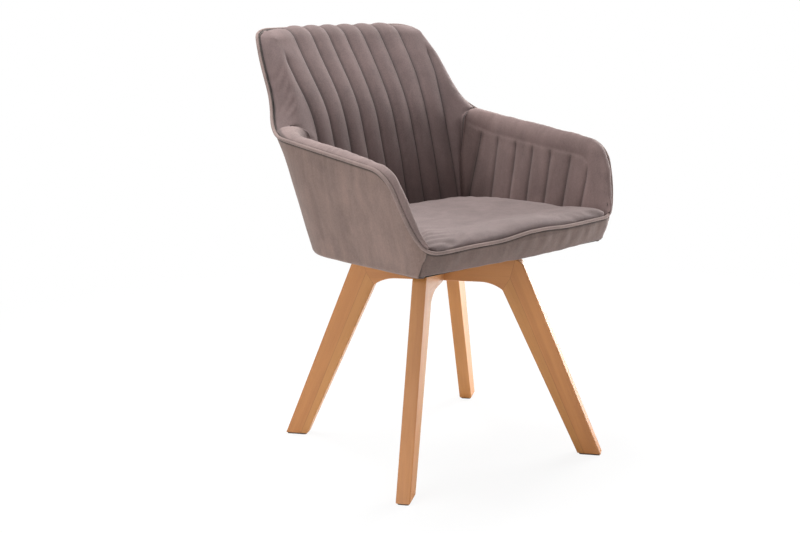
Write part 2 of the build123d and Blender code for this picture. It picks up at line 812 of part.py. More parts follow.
rail_blank = frame_blank.part & rail_space.part
leg_blank = split(frame_blank.part - rail_space.part, bisect_by=Plane.XZ, keep=Keep.TOP)
inner_blank = split(leg_blank, bisect_by=stave_seam, keep=Keep.TOP)
outer_blank = split(leg_blank, bisect_by=stave_seam, keep=Keep.BOTTOM)
legs = {}
for name, turn in leg_turns.items():
    with BuildPart() as inner_stave:
        add(Rot(0, 0, turn) * inner_blank)
    with BuildPart() as outer_stave:
        add(Rot(0, 0, turn) * outer_blank)
        for dowel in knee_dowels():
            add(Rot(0, 0, turn) * dowel, mode=Mode.SUBTRACT)
    legs[f"leg_{name}_inner_stave"] = inner_stave
    legs[f"leg_{name}_outer_stave"] = outer_stave


def cross_rail(turn, notch_low, notch_high):
    """One whole rail under two opposite legs, halved where it crosses the other one."""
    notch = Box(leg_thickness, leg_thickness, notch_high - notch_low)
    notch = Pos(0, 0, (notch_low + notch_high) / 2) * notch
    with BuildPart() as rail:
        add(Rot(0, 0, turn) * (rail_blank - notch))
        for end in (turn, turn + 180):
            for dowel in knee_dowels():
                add(Rot(0, 0, end) * dowel, mode=Mode.SUBTRACT)
        for screw in set_round(plate_screw, plate_screw_circle, plate_turns):
            add(screw, mode=Mode.SUBTRACT)
    return rail


plate_turns = [turn + base_turn for turn in corner_turns]
plate_screw = disc(screw_radius, lower_plate_top - screw_length, lower_plate_top)
plate_screw_head = disc(screw_head_radius, lower_plate_top, lower_plate_top + screw_head_height)
lap_height = (rail_under + rail_top) / 2
cross_rail_lower = cross_rail(leg_turns["front_left"], lap_height, rail_top)
cross_rail_upper = cross_rail(leg_turns["front_right"], rail_under, lap_height)

with BuildPart() as leg_dowels:
    for turn in leg_turns.values():
        for dowel in knee_dowels():
            add(Rot(0, 0, turn) * dowel)

with BuildPart() as foot_glides:
    for turn in leg_turns.values():
        foot_length = foot_outer - foot_inner
        with BuildSketch(Plane(Rot(0, 0, turn) * Pos(0, -(foot_outer + foot_inner) / 2, 0))):
            RectangleRounded(leg_thickness - 2 * glide_inset, foot_length - 2 * glide_inset, glide_corner)
        extrude(amount=glide_thickness)

with BuildPart() as lower_plate:
    with BuildSketch(Plane.XY.offset(rail_top)):
        RectangleRounded(plate_side, plate_side, plate_corner, rotation=base_turn)
        Circle(pin_radius, mode=Mode.SUBTRACT)
    extrude(amount=plate_thickness)
    for screw in set_round(plate_screw, plate_screw_circle, plate_turns):
        add(screw, mode=Mode.SUBTRACT)

with BuildPart() as lower_plate_screws:
    for screw in set_round(plate_screw + plate_screw_head, plate_screw_circle, plate_turns):
        add(screw)

PIECES = {
    "outer_cover": outer_cover,
    "bucket_former": bucket_former,
    "arm_pad_right": arm_pad_right,
    "arm_pad_left": arm_pad_left,
    "back_pad": back_pad,
    "front_border": front_border,
    "seat_cushion": seat_cushion,
    "rim_welt": rim_welt,
    "front_welt": front_welt,
    "seat_board": seat_board,
    "former_screws": former_screws,
    "tee_nuts": tee_nuts,
    "dust_cover": dust_cover,
    "upper_plate": upper_plate,
    "upper_plate_bolts": upper_plate_bolts,
    "upper_race": upper_race,
    "pin_washer": pin_washer,
    "ball_cage": ball_cage,
    "bearing_balls": bearing_balls,
    "lower_race": lower_race,
    "lower_plate": lower_plate,
    "lower_plate_screws": lower_plate_screws,
    "king_pin": king_pin,
    "cross_rail_lower": cross_rail_lower,
    "cross_rail_upper": cross_rail_upper,
    "leg_dowels": leg_dowels,
    "foot_glides": foot_glides,
    **legs,
}
for name, piece in PIECES.items():
    piece.part.label = name
    export_step(piece.part, f"parts/{name}.step")
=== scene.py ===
from math import asin, atan2, cos, exp, pi, radians, sin, sqrt

import bmesh
import bpy
from mathutils import Matrix, Vector, noise


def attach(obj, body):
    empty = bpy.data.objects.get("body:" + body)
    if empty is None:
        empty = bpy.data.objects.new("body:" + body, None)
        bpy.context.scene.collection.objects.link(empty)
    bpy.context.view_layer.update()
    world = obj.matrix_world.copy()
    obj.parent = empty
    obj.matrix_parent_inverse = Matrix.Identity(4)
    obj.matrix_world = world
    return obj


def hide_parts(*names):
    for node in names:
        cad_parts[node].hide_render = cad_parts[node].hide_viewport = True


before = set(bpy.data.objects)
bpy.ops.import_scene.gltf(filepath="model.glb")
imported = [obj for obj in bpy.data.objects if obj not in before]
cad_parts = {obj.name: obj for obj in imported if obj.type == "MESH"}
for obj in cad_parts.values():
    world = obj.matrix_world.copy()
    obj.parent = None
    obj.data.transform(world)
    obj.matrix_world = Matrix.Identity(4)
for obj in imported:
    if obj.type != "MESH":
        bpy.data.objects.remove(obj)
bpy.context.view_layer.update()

scene = bpy.context.scene
scene.view_settings.view_transform = "Standard"


# ------------------------------------------------------------------ camera
# A 55 mm lens a little above the top of the back, in front of the chair and to
# its left, tipped down at the seat.
yaw, pitch, roll = radians(-40.79), radians(12.42), radians(0.86)
aim = Vector((-sin(yaw) * cos(pitch), cos(yaw) * cos(pitch), -sin(pitch)))
level = Vector((cos(yaw), sin(yaw), 0))
above = level.cross(aim)
right = cos(roll) * level - sin(roll) * above
above = sin(roll) * level + cos(roll) * above
camera = bpy.data.objects.new("camera", bpy.data.cameras.new("camera"))
scene.collection.objects.link(camera)
stand = Matrix.Translation((-1.6558, -1.7993, 0.9199))
camera.matrix_world = stand @ Matrix((right, above, -aim)).transposed().to_4x4()
camera.data.sensor_width = 36
camera.data.lens = 55.45
camera.data.shift_y = -0.00175
scene.camera = camera


# ------------------------------------------------------------------ studio
# A seamless white sweep: one wide pale floor that runs out into a white
# surround, with a large soft lamp on either side, one overhead, and two small
# ones low down that reach the legs and the underside.
def softbox(name, place, target, width, height, watts):
    lamp = bpy.data.objects.new(name, bpy.data.lights.new(name, "AREA"))
    scene.collection.objects.link(lamp)
    lamp.data.shape = "RECTANGLE"
    lamp.data.size, lamp.data.size_y = width, height
    lamp.data.energy = watts
    lamp.location = place
    lamp.rotation_euler = (Vector(target) - Vector(place)).to_track_quat("-Z", "Y").to_euler()


def add_node(tree, kind, **settings):
    node = tree.nodes.new("ShaderNode" + kind)
    for name, value in settings.items():
        setattr(node, name, value)
    return node


def join(tree, source, target):
    tree.links.new(source, target)


def end_with_mix(tree, share, first, second, ending):
    """Ends a tree with a mix of two shaders."""
    mix = add_node(tree, "MixShader")
    for source, socket in zip((share, first.outputs[0], second.outputs[0]), mix.inputs):
        join(tree, source, socket)
    join(tree, mix.outputs[0], add_node(tree, ending).inputs[0])


def piece_from(bm, name):
    """A new object with the bmesh as its mesh."""
    made = bpy.data.objects.new(name, bpy.data.meshes.new(name))
    bm.to_mesh(made.data)
    bm.free()
    scene.collection.objects.link(made)
    return made


softbox("lamp_left", (-2.7, -0.3, 1.05), (0, 0, 0.5), 1.3, 1.0, 29)
softbox("lamp_right", (2.4, 0.1, 1.0), (0, 0, 0.4), 1.5, 1.6, 100)
softbox("lamp_over", (-0.2, 0.65, 2.6), (0, 0, 0.5), 1.5, 1.4, 84)
softbox("lamp_low", (-0.9, -2.4, 0.25), (0, 0, 0.33), 1.6, 0.4, 8)
softbox("lamp_kick", (1.8, -1.7, 0.45), (0, 0, 0.25), 0.8, 0.5, 18)

# The surround is white where it is seen, and lights the chair only a little.
surround = bpy.data.worlds.new("surround")
scene.world = surround
surround.use_nodes = True
tree = surround.node_tree
tree.nodes.clear()
rays = add_node(tree, "LightPath")
seen = rays.outputs["Is Camera Ray"]
for kind in ("Is Glossy Ray", "Is Transmission Ray"):
    either = add_node(tree, "Math", operation="MAXIMUM")
    join(tree, seen, either.inputs[0])
    join(tree, rays.outputs[kind], either.inputs[1])
    seen = either.outputs[0]
lit, white = add_node(tree, "Background"), add_node(tree, "Background")
for sky, strength in ((lit, 0.09), (white, 1)):
    sky.inputs["Color"].default_value = (1, 1, 1, 1)
    sky.inputs["Strength"].default_value = strength
end_with_mix(tree, seen, lit, white, "OutputWorld")

# Near the chair a tenth of the paper's own shade is left to show its shadow.
bm = bmesh.new()
bmesh.ops.create_circle(bm, cap_ends=True, segments=96, radius=14)
floor = piece_from(bm, "floor")
paper = bpy.data.materials.new("white_paper")
paper.use_nodes = True
tree = paper.node_tree
tree.nodes.clear()
reach = add_node(tree, "VectorMath", operation="LENGTH")
join(tree, add_node(tree, "TexCoord").outputs["Object"], reach.inputs[0])
far = add_node(tree, "MapRange")
for socket, number in zip(far.inputs[1:5], (0.6, 1.8, 0.9, 1.0)):
    socket.default_value = number
join(tree, reach.outputs["Value"], far.inputs[0])
share = add_node(tree, "Math", operation="MULTIPLY")
join(tree, add_node(tree, "LightPath").outputs["Is Camera Ray"], share.inputs[0])
join(tree, far.outputs[0], share.inputs[1])
matt, glow = add_node(tree, "BsdfDiffuse"), add_node(tree, "Emission")
matt.inputs["Color"].default_value = (0.93, 0.93, 0.93, 1)
end_with_mix(tree, share.outputs[0], matt, glow, "OutputMaterial")
floor.data.materials.append(paper)


# ------------------------------------------------------------------ legs and rails
# Solid beech, sanded and lacquered satin. Each leg is two staves glued edge to
# edge, dowelled to the end of a rail; the two rails are halved where they cross.
def sum_of(tree, a, b, operation="ADD"):
    """The sum, or another operation, of two values; each is a socket or a plain number."""
    node = add_node(tree, "Math", operation=operation)
    for value, socket in ((a, node.inputs[0]), (b, node.inputs[1])):
        if isinstance(value, (int, float)):
            socket.default_value = value
        else:
            join(tree, value, socket)
    return node.outputs[0]


def times(tree, a, b):
    return sum_of(tree, a, b, "MULTIPLY")


def less(tree, a, b):
    return sum_of(tree, a, b, "SUBTRACT")


def larger(tree, a, b):
    return sum_of(tree, a, b, "MAXIMUM")


def away_from(tree, value, place=0):
    """How far a value lies from a place, to either side."""
    if place:
        value = less(tree, value, place)
    return sum_of(tree, value, 0, "ABSOLUTE")


def cloud(tree, position, stretch, detail, roughness=0.55, distortion=0.0):
    """Noise whose patches have the size 1/stretch along each axis, around 0.5."""
    mapping = add_node(tree, "Mapping")
    join(tree, position, mapping.inputs["Vector"])
    mapping.inputs["Scale"].default_value = stretch
    texture = add_node(tree, "TexNoise")
    texture.inputs["Scale"].default_value = 1
    texture.inputs["Detail"].default_value = detail
    texture.inputs["Roughness"].default_value = roughness
    texture.inputs["Distortion"].default_value = distortion
    join(tree, mapping.outputs[0], texture.inputs["Vector"])
    return texture.outputs[0]


def ramp(tree, value, low, high, to_low=0.0, to_high=1.0):
    """A smooth change from to_low to to_high while the value goes from low to high."""
    node = add_node(tree, "MapRange", interpolation_type="SMOOTHSTEP")
    join(tree, value, node.inputs[0])
    for socket, number in zip(node.inputs[1:5], (low, high, to_low, to_high)):
        socket.default_value = number
    return node.outputs[0]


def blend_of(tree, share, first, second):
    """A mix of two colours; each is a socket or a tuple."""
    node = add_node(tree, "Mix", data_type="RGBA")
    sockets = [s for s in node.inputs if s.enabled]
    for value, socket in ((share, sockets[0]), (first, sockets[1]), (second, sockets[2])):
        if isinstance(value, (int, float, tuple)):
            socket.default_value = value if isinstance(value, (int, float)) else (*value[:3], 1)
        else:
            join(tree, value, socket)
    return [s for s in node.outputs if s.enabled][0]


def new_group(name, inputs, outputs):
    """A node group with named inputs and outputs; returns it with its two end nodes."""
    group = bpy.data.node_groups.new(name, "ShaderNodeTree")
    for label, kind, value in inputs:
        socket = group.interface.new_socket(label, in_out="INPUT", socket_type="NodeSocket" + kind)
        if value is not None:
            socket.default_value = value
    for label, kind in outputs:
        group.interface.new_socket(label, in_out="OUTPUT", socket_type="NodeSocket" + kind)
    return group, group.nodes.new("NodeGroupInput"), group.nodes.new("NodeGroupOutput")


def give(tree, result, **outputs):
    """Joins the values that a group gives out."""
    for label, value in outputs.items():
        join(tree, value, result.inputs[label])


def place_group(tree, group, **values):
    """A node group in a material, with each named input set to a socket or a value."""
    node = tree.nodes.new("ShaderNodeGroup")
    node.node_tree = group
    for name, value in values.items():
        socket = node.inputs[name.replace("_", " ")]
        if hasattr(value, "links"):
            join(tree, value, socket)
        else:
            socket.default_value = (*value, 1) if isinstance(value, tuple) and len(value) == 3 else value
    return node


def new_material(name, roughness=0.5, **constants):
    """A material with one Principled shader, whose constants are set on its own sockets."""
    made = bpy.data.materials.new(name)
    made.use_nodes = True
    tree = made.node_tree
    tree.nodes.clear()
    shader = add_node(tree, "BsdfPrincipled")
    shader.inputs["Roughness"].default_value = roughness
    for label, value in constants.items():
        shader.inputs[label.replace("_", " ").title()].default_value = value
    output = add_node(tree, "OutputMaterial")
    join(tree, shader.outputs[0], output.inputs[0])
    place = add_node(tree, "TexCoord")
    return made, tree, shader, place.outputs["Object"]


def relief(tree, shader, height, strength, distance):
    bump = add_node(tree, "Bump")
    bump.inputs["Strength"].default_value = strength
    bump.inputs["Distance"].default_value = distance
    join(tree, height, bump.inputs["Height"])
    join(tree, bump.outputs[0], shader.inputs["Normal"])


def dress(tree, shader, skin, strength, distance):
    """Puts a placed group's colour, roughness and relief on the shader."""
    join(tree, skin.outputs["Color"], shader.inputs["Base Color"])
    if skin.outputs.get("Roughness"):
        join(tree, skin.outputs["Roughness"], shader.inputs["Roughness"])
    relief(tree, shader, skin.outputs["Height"], strength, distance)


def paint(material, *parts):
    """Puts a material on pieces that come from the frame as they are."""
    for part in parts:
        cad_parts[part].material_slots[0].material = material


def turned(tree, position, rotation, location=(0, 0, 0)):
    mapping = add_node(tree, "Mapping")
    mapping.inputs["Rotation"].default_value = rotation
    mapping.inputs["Location"].default_value = location
    join(tree, position, mapping.inputs["Vector"])
    return mapping.outputs[0]


skin_outputs = [("Color", "Color"), ("Roughness", "Float"), ("Height", "Float")]
beech_grain, ends, result = new_group(
    "Beech grain",
    [("Position", "Vector", None), ("Pale", "Color", (0.5, 0.24, 0.1, 1)),
     ("Deep", "Color", (0.33, 0.13, 0.045, 1)), ("Line", "Float", 1.0)],
    skin_outputs,
)
position = ends.outputs["Position"]
figure = cloud(beech_grain, position, (26, 34, 2.2), 4, 0.6, 0.5)
fibre = cloud(beech_grain, position, (520, 520, 14), 2, 0.7)
fleck = ramp(beech_grain, cloud(beech_grain, position, (1100, 700, 150), 1, 0.5), 0.62, 0.72)
broad = cloud(beech_grain, position, (7, 7, 3), 1)
figured = ramp(beech_grain, figure, 0.32, 0.7)
tone = -0.3
for pattern, depth in ((figured, 0.55), (fibre, 0.38), (broad, 0.3), (fleck, 0.16)):
    tone = sum_of(beech_grain, tone, times(beech_grain, pattern, depth))
colour = blend_of(beech_grain, tone, ends.outputs["Pale"], ends.outputs["Deep"])
glue = times(beech_grain, ends.outputs["Line"], 0.75)
give(
    beech_grain, result,
    Color=blend_of(beech_grain, glue, colour, (0.12, 0.045, 0.016)),
    Roughness=ramp(beech_grain, fibre, 0.2, 0.8, 0.36, 0.5),
    Height=less(beech_grain, fibre, fleck),
)

leg_turns = {"back_left": -144.6, "front_left": -54.6, "front_right": 35.4, "back_right": 125.4}
rail_turns = {"cross_rail_lower": -54.6, "cross_rail_upper": 35.4}
knee_reach, knee_height = 0.149, 0.362      # where the joint line of rail and leg bends
lean_above, lean_below = 0.256, 0.64        # its run for each unit of height
stave_lean = atan2(0.154, knee_height)      # lean of the glued seam between a leg's two staves
stave_seam_away = 0.2788                    # that seam's distance from the swivel axis, square to the leg

joint_mark, ends, result = new_group("Knee joint line", [("Radial", "Vector", None)], [("Mask", "Float")])
apart = add_node(joint_mark, "SeparateXYZ")
join(joint_mark, ends.outputs["Radial"], apart.inputs[0])
height = less(joint_mark, apart.outputs["Z"], knee_height)
leans = [times(joint_mark, height, run) for run in (lean_above, lean_below)]
away = sum_of(joint_mark, apart.outputs["Y"], knee_reach)
away = sum_of(joint_mark, away, sum_of(joint_mark, *leans, "MINIMUM"))
give(joint_mark, result, Mask=ramp(joint_mark, away_from(joint_mark, away), 0.0002, 0.0006, 1.0, 0.0))


def beech(name, turn, along_leg, pale, deep, shift):
    """Beech whose grain runs down a leg, or along a rail, standing at a turn."""
    made, tree, shader, position = new_material(name, 0.48, coat_weight=0.04, coat_roughness=0.3)
    radial = turned(tree, position, (0, 0, radians(-turn)))
    if along_leg:
        grain = turned(tree, radial, (stave_lean, 0, 0), (0, stave_seam_away, shift))
        apart = add_node(tree, "SeparateXYZ")
        join(tree, grain, apart.inputs[0])
        line = ramp(tree, away_from(tree, apart.outputs["Y"]), 0.0001, 0.0005, 0.7, 0.0)
    else:
        grain = turned(tree, radial, (pi / 2, 0, 0), (shift, 0, 0))
        apart = add_node(tree, "SeparateXYZ")
        join(tree, radial, apart.inputs[0])
        folded = add_node(tree, "CombineXYZ")
        inward = times(tree, away_from(tree, apart.outputs["Y"]), -1)
        join(tree, inward, folded.inputs["Y"])
        join(tree, apart.outputs["Z"], folded.inputs["Z"])
        line = place_group(tree, joint_mark, Radial=folded.outputs[0]).outputs["Mask"]
    grained = place_group(tree, beech_grain, Position=grain, Pale=pale, Deep=deep, Line=line)
    dress(tree, shader, grained, 0.25, 0.0002)
    return made


light_beech = (0.50, 0.228, 0.066), (0.365, 0.147, 0.036)
deep_beech = (0.5, 0.212, 0.062), (0.35, 0.13, 0.036)
for index, (corner, turn) in enumerate(leg_turns.items()):
    for layer, colours, shift in (("inner", light_beech, 0), ("outer", deep_beech, 0.6)):
        material = beech(f"beech_{layer}_{corner}", turn, True, *colours, 1.3 * index + shift)
        paint(material, f"leg_{corner}_{layer}_stave")
for part, turn in rail_turns.items():
    paint(beech("beech_" + part, turn, False, *deep_beech, turn / 20), part)
paint(beech("beech_dowel", 0, False, (0.5, 0.25, 0.1), (0.3, 0.12, 0.04), 3), "leg_dowels")


# ------------------------------------------------------------------ glides
# Flat pads of hard grey-brown plastic pressed onto the ends of the legs,
# scuffed where they slide.
moulded_skin, ends, result = new_group(
    "Moulded plastic",
    [("Position", "Vector", None), ("Colour", "Color", (0.1, 0.1, 0.1, 1))],
    skin_outputs,
)
grit = cloud(moulded_skin, ends.outputs["Position"], (1500, 1500, 1500), 1)
marks = cloud(moulded_skin, ends.outputs["Position"], (140, 140, 140), 4, 0.7)
scuff = ramp(moulded_skin, marks, 0.55, 0.75)
paled = times(moulded_skin, scuff, 0.35)
give(
    moulded_skin, result,
    Color=blend_of(moulded_skin, paled, ends.outputs["Colour"], (0.35, 0.33, 0.3)),
    Roughness=sum_of(moulded_skin, times(moulded_skin, scuff, 0.25), 0.42),
    Height=grit,
)


def plastic(name, colour):
    made, tree, shader, position = new_material(name, 0.45)
    dress(tree, shader, place_group(tree, moulded_skin, Position=position, Colour=colour), 0.2, 0.0002)
    return made


paint(plastic("glide_plastic", (0.09, 0.07, 0.055)), "foot_glides")


# ------------------------------------------------------------------ swivel plates, races and fasteners
# Pressed steel plates in black enamel, a hardened pin, races and balls in a
# moulded cage, and zinc plated screws and nuts.
metal_skin, ends, result = new_group(
    "Worn metal",
    [("Position", "Vector", None), ("Colour", "Color", (0.5, 0.5, 0.5, 1)), ("Gloss", "Float", 0.35)],
    skin_outputs,
)
grain = cloud(metal_skin, ends.outputs["Position"], (90, 90, 90), 4, 0.7)
fine = cloud(metal_skin, ends.outputs["Position"], (900, 900, 900), 2)
worn = ramp(metal_skin, grain, 0.35, 0.75, 0.0, 0.4)
give(
    metal_skin, result,
    Color=blend_of(metal_skin, worn, ends.outputs["Colour"], (0.2, 0.19, 0.18)),
    Roughness=sum_of(metal_skin, ends.outputs["Gloss"], times(metal_skin, grain, 0.2)),
    Height=fine,
)


def metal(name, colour, gloss, metallic=1.0):
    made, tree, shader, position = new_material(name, 0.4, metallic=metallic)
    skin = place_group(tree, metal_skin, Position=position, Colour=colour, Gloss=gloss)
    dress(tree, shader, skin, 0.15, 0.0001)
    return made


paint(metal("black_enamel", (0.025, 0.025, 0.026), 0.3, 0.0), "upper_plate", "lower_plate")
hardened = metal("bearing_steel", (0.62, 0.62, 0.61), 0.12)
paint(hardened, "upper_race", "lower_race", "bearing_balls", "king_pin")
paint(plastic("cage_plastic", (0.75, 0.72, 0.64)), "ball_cage")
zinc = metal("zinc_plating", (0.6, 0.59, 0.56), 0.25)
paint(zinc, "upper_plate_bolts", "lower_plate_screws", "former_screws", "tee_nuts", "pin_washer")


# ------------------------------------------------------------------ bucket former and seat board
# A bent plywood shell wrapped all over in wadding under the covers, drawn dark as
# painted shade where it shows between them, and a flat plywood board whose thin
# veneers show at its edges as fine stripes.
veneer_layers, ends, result = new_group(
    "Veneer layers", [("Position", "Vector", None), ("Colour", "Color", (0.5, 0.35, 0.2, 1))],
    [("Color", "Color"), ("Height", "Float")],
)
grain = cloud(veneer_layers, ends.outputs["Position"], (8, 60, 160), 4, 0.6, 0.4)
pores = cloud(veneer_layers, ends.outputs["Position"], (60, 700, 900), 2)
layered = ramp(veneer_layers, grain, 0.3, 0.7, 0.0, 0.7)
layered = blend_of(veneer_layers, layered, ends.outputs["Colour"], (0.3, 0.18, 0.09))
give(veneer_layers, result, Color=layered, Height=pores)
plywood, tree, shader, position = new_material("plywood", 0.7)
veneers = place_group(tree, veneer_layers, Position=position, Colour=(0.52, 0.37, 0.22))
dress(tree, shader, veneers, 0.3, 0.0003)
paint(plywood, "seat_board")


def felted(name, fineness, dark, light, depth):
    """Matted fibres: the former's wadding, dark as painted shade where it shows, and the felt under the
    seat.
    """
    made, tree, shader, position = new_material(name, 0.95)
    fluff = cloud(tree, position, (fineness, fineness, fineness), 4, 0.7)
    join(tree, blend_of(tree, ramp(tree, fluff, 0.3, 0.7), dark, light), shader.inputs["Base Color"])
    relief(tree, shader, fluff, 0.4, depth)
    return made


paint(felted("former_wadding_painted_shade", 260, (0.055, 0.043, 0.04), (0.095, 0.075, 0.068), 0.0006), "bucket_former")


# ------------------------------------------------------------------ outer cover
# One wrap of brushed taupe microfibre over a thin wadding, pulled down from the
# piped rim and stapled under the board. It runs from corner seam to corner seam.
hem_z, elbow_z, shoulder_z, crown_z = 0.427, 0.620, 0.700, 0.852
welt_rise = 0.043                       # from the hem to the piping across the front
nose_y, nose_z = -0.188, 0.617          # where the lines of arm front and arm top would meet
nape_y, nape_z = 0.180, 0.660           # where the lines of arm top and back edge would meet
front_slope, top_slope, edge_slope = 0.147 / 0.050, 0.043 / 0.368, 1 / 0.665
nose_radius, nape_radius = 0.072, 0.110
corner_x, corner_width, corner_rise = 0.170, 0.078, 0.061   # the back's top corner, as seen from the front
back_bow, front_bulge = 0.900, 0.012
tucked = 0.0045                         # height over which the cloth turns under the hem


def through(z, hem, elbow, shoulder, crown):
    """A smooth value at height z through its values at hem, elbow, shoulder and crown."""
    heights, values = (hem_z, elbow_z, shoulder_z, crown_z), (hem, elbow, shoulder, crown)
    slopes = [(values[i + 1] - values[i]) / (heights[i + 1] - heights[i]) for i in range(3)]
    tangents = [slopes[0], (slopes[0] + slopes[1]) / 2, (slopes[1] + slopes[2]) / 2, slopes[2]]
    i = 0 if z < elbow_z else 1 if z < shoulder_z else 2
    span = heights[i + 1] - heights[i]
    s = (z - heights[i]) / span
    near = values[i] * (1 + 2 * s) * (1 - s) ** 2 + tangents[i] * span * s * (1 - s) ** 2
    return near + values[i + 1] * s * s * (3 - 2 * s) - tangents[i + 1] * span * s * s * (1 - s)


def half_width(z):
    return through(z, 0.250, 0.291, 0.287, 0.235)


def back_at(z):
    """How far the back lies behind the swivel axis."""
    return through(z, 0.175, 0.2175, 0.243, 0.341)


def corner_at(z):
    """The plan radius of the back corners."""
    return through(z, 0.119, 0.124, 0.062, 0.066)


def to_welt(z):
    return min(1, max(0, (z - hem_z) / welt_rise))


def front_at(z):
    return 0.221 + 0.019 * to_welt(z)


def front_corner_at(z):
    return 0.014 + 0.016 * to_welt(z)


def corner_seam_turn(z):
    """How far the corner seam lies round from the side to the front: more at the welt than at the hem."""
    return radians(38 + 20 * to_welt(z))


def smooth(value, low, high):
    t = min(1, max(0, (value - low) / (high - low)))
    return t * t * (3 - 2 * t)


def rim_height(x, y):
    """Height of the rim: up the arm front, over the arm, up the back's edge and round its top corner."""
    front = (front_slope, nose_z - nose_y * front_slope)
    top = (top_slope, nose_z - nose_y * top_slope)
    edge = (edge_slope, nape_z - nape_y * edge_slope)
    height = edge[0] * y + edge[1]
    for one, two, radius, side in ((front, top, nose_radius, -1), (top, edge, nape_radius, 1)):
        a, b = sqrt(1 + one[0] ** 2), sqrt(1 + two[0] ** 2)
        centre = (two[1] - one[1] + side * radius * (b - a)) / (one[0] - two[0])
        middle = one[0] * centre + one[1] + side * radius * a
        if y < centre + side * radius * one[0] / a:
            height = one[0] * y + one[1]
            break
        if y < centre + side * radius * two[0] / b:
            height = middle - side * sqrt(radius**2 - (y - centre) ** 2)
            break
    over = min(1, max(0, (x - corner_x) / corner_width))
    return min(height, crown_z - corner_rise + corner_rise * sqrt(1 - over**2))


def welt_height(x):
    """The cord over the border, which the cushion pushes down a little at the left and up at the right."""
    rise = 0.003 * smooth(x, -0.19, -0.12) + 0.0075 * smooth(x, -0.075, 0.012)
    return 0.4735 + rise - 0.004 * smooth(x, 0.03, 0.10)


def hem_height(x, y):
    """The cloth's bottom edge, drawn up unevenly at the front."""
    front = 0.0022 * (1 - smooth(x, -0.10, 0.02)) + 0.0015 * smooth(x, 0.10, 0.20)
    front += 0.0012 * noise.noise(Vector((x * 40, 3, 1)))
    return 0.4272 + front * smooth(-y, 0.02, 0.20)


def cover_plan(z, share):
    """The cover's plan, from the back's middle (0) to the front corner seam (1): a point and its normal."""
    w, b, r = half_width(z), back_at(z), corner_at(z)
    bow_centre = b - back_bow
    corner_y = bow_centre + sqrt((back_bow - r) ** 2 - (w - r) ** 2)
    turn = atan2(corner_y - bow_centre, w - r)
    front_r = front_corner_at(z)
    front_y = front_r - front_at(z)
    runs = (back_bow * (pi / 2 - turn), r * turn, corner_y - front_y, front_r * corner_seam_turn(z))
    along = share * sum(runs)
    if along < runs[0]:
        a = pi / 2 - along / back_bow
        return back_bow * cos(a), bow_centre + back_bow * sin(a), cos(a), sin(a)
    along -= runs[0]
    if along < runs[1]:
        a = turn - along / r
        return w - r + r * cos(a), corner_y + r * sin(a), cos(a), sin(a)
    along -= runs[1]
    if along < runs[2]:
        return w, corner_y - along, 1, 0
    a = (along - runs[2]) / front_r
    return w - front_r + front_r * cos(a), front_y - front_r * sin(a), cos(a), -sin(a)


tops = {}


def cover_top(share):
    """How high the cover reaches on a column, which is where the rim is."""
    share = round(share, 5)
    if share not in tops:
        low, high = 0.44, crown_z
        for step in range(24):
            z = (low + high) / 2
            low, high = (z, high) if z < rim_height(*cover_plan(z, share)[:2]) else (low, z)
        tops[share] = high
    return tops[share]


def grid_mesh(name, columns, rows, place, closed=False):
    """A mesh from a grid, each point put in its place; place also gives the cloth's own two coordinates."""
    bm = bmesh.new()
    pattern = bm.loops.layers.uv.new("cloth")
    bmesh.ops.create_grid(bm, x_segments=columns, y_segments=rows, size=0.5, calc_uvs=False)
    lay = {}
    for v in bm.verts:
        spot, across, along = place(v.co.x + 0.5, v.co.y + 0.5)
        lay[v.index] = (across, along)
        v.co = spot
    for face in bm.faces:
        face.smooth = True
        for loop in face.loops:
            loop[pattern].uv = lay[loop.vert.index]
    if closed:
        bmesh.ops.remove_doubles(bm, verts=bm.verts, dist=0.00001)
    return piece_from(bm, name)


def border_plan(z, share, out=0.0):
    """The front border's plan, from the left corner seam (-1) to the right (1): a point that stands out."""
    w, f, r = half_width(z), front_at(z), front_corner_at(z)
    reach = w - r
    sweep_r = (reach**2 + front_bulge**2) / (2 * front_bulge)
    runs = (sweep_r * asin(reach / sweep_r), r * (pi / 2 - corner_seam_turn(z)))
    along = abs(share) * sum(runs)
    if along < runs[0]:
        a = along / sweep_r
        x, y = sweep_r * sin(a), -f - front_bulge + sweep_r * (1 - cos(a))
    else:
        a = (along - runs[0]) / r
        x, y = reach + r * sin(a), -f + r * (1 - cos(a))
    return (1 if share > 0 else -1) * (x + sin(a) * out), y - cos(a) * out


side_steps, front_steps, front_half = 700, 120, 0.22


def rim_run(side):
    """One half of the rim as sewn: from the back's middle to the corner seam, then across the front."""
    line = []
    for i in range(side_steps + 1):
        z = cover_top(i / side_steps)
        x, y = cover_plan(z, i / side_steps)[:2]
        line.append(Vector((side * x, y, z)))
    for i in range(1, front_steps + 1):
        left = 1 - i / front_steps
        z = welt_height(side * front_half * left)
        line.append(Vector((*border_plan(z, side * max(0.00001, left)), z)))
    for step in range(130):  # first eases every turn, then only the one at the corner seam
        eased = [(a + 2 * b + c) / 4 for a, b, c in zip(line, line[1:], line[2:])]
        for i, spot in enumerate(eased, 1):
            if step < 40 or side_steps - 45 < i < side_steps + 45:
                line[i] = spot
    return line


def between(line, index):
    """The point of a line at an index that need not be whole."""
    i = int(index)
    return line[i].lerp(line[min(len(line) - 1, i + 1)], index - i)


rim_runs = {1: rim_run(1), -1: rim_run(-1)}


